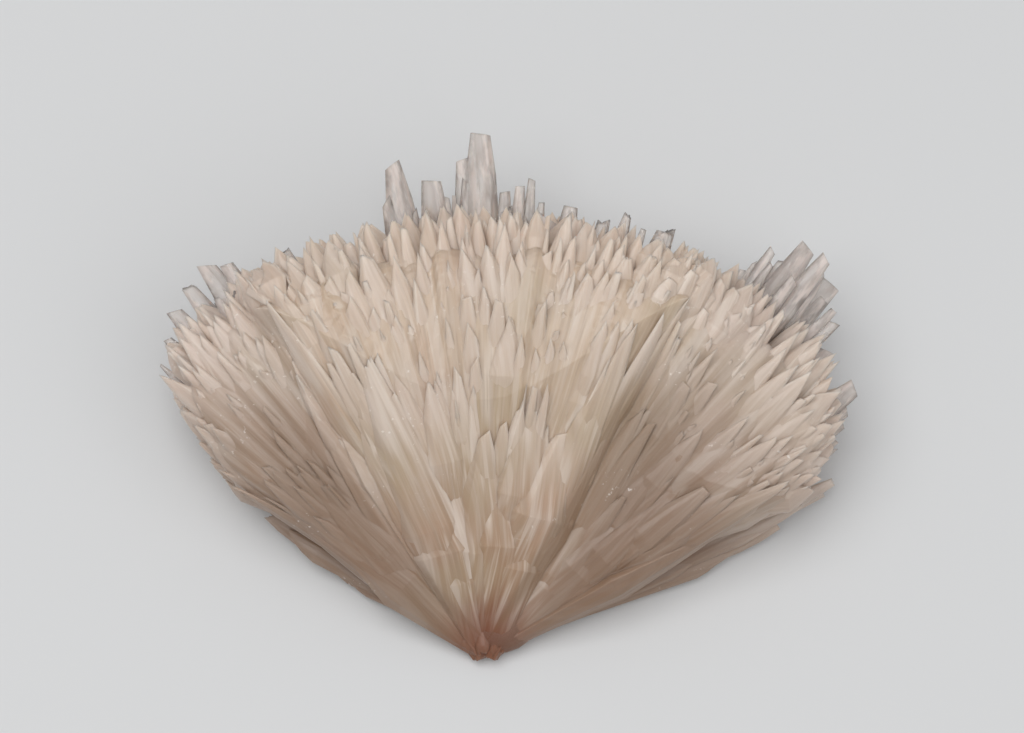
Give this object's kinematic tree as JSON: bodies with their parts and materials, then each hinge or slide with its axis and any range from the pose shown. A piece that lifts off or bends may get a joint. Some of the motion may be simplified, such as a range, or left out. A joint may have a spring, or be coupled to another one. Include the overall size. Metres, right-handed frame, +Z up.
{
  "type": "mineral specimen",
  "caption": "Loose spray of milky, clear-tipped, spear-shaped crystals that fan out of a small broken root, lying on its back.",
  "frame": {"origin": "centre of the specimen's footprint, on the surface that it lies on", "axes": "+X across the fan, to the right seen from its front; +Y from the root to the tips; +Z up, out of the fan's front"},
  "size_m": [0.0702, 0.052, 0.0239],
  "materials": {
    "strontianite": "milky cream body, clear glassy tips, silky lengthwise striations"
  },
  "bodies": {
    "root": {"crystal_spray": "strontianite"}
  },
  "joints": []
}
